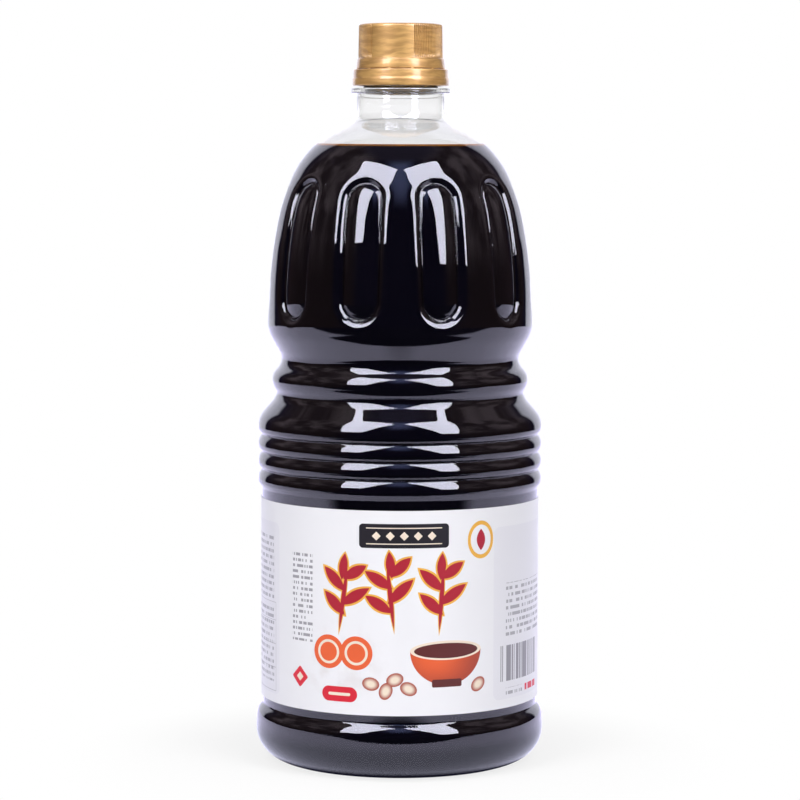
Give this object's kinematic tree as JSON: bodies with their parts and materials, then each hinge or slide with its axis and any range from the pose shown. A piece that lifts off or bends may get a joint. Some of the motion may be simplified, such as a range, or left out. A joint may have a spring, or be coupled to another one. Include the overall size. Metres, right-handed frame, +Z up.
{
  "type": "soy sauce jug",
  "caption": "Clear sauce bottle with a ribbed waist, recessed finger grips round its domed shoulder, a wrap-around label and a gold screw cap, full of dark soy sauce.",
  "frame": {"origin": "centre of the ring that the bottle stands on", "axes": "+Z up along the bottle's axis, -Y towards the front of the label"},
  "size_m": [0.098, 0.098, 0.25],
  "materials": {
    "clear_plastic": "clear blown plastic, glossy",
    "sauce": "dark brown, nearly black liquid",
    "label_film": "white printed film, satin",
    "gold_cap": "pearly gold plastic, satin"
  },
  "bodies": {
    "root": {"bottle": "clear_plastic", "soy_sauce": "sauce", "label": "label_film", "cap": "gold_cap", "tamper_band": "gold_cap"}
  },
  "joints": []
}
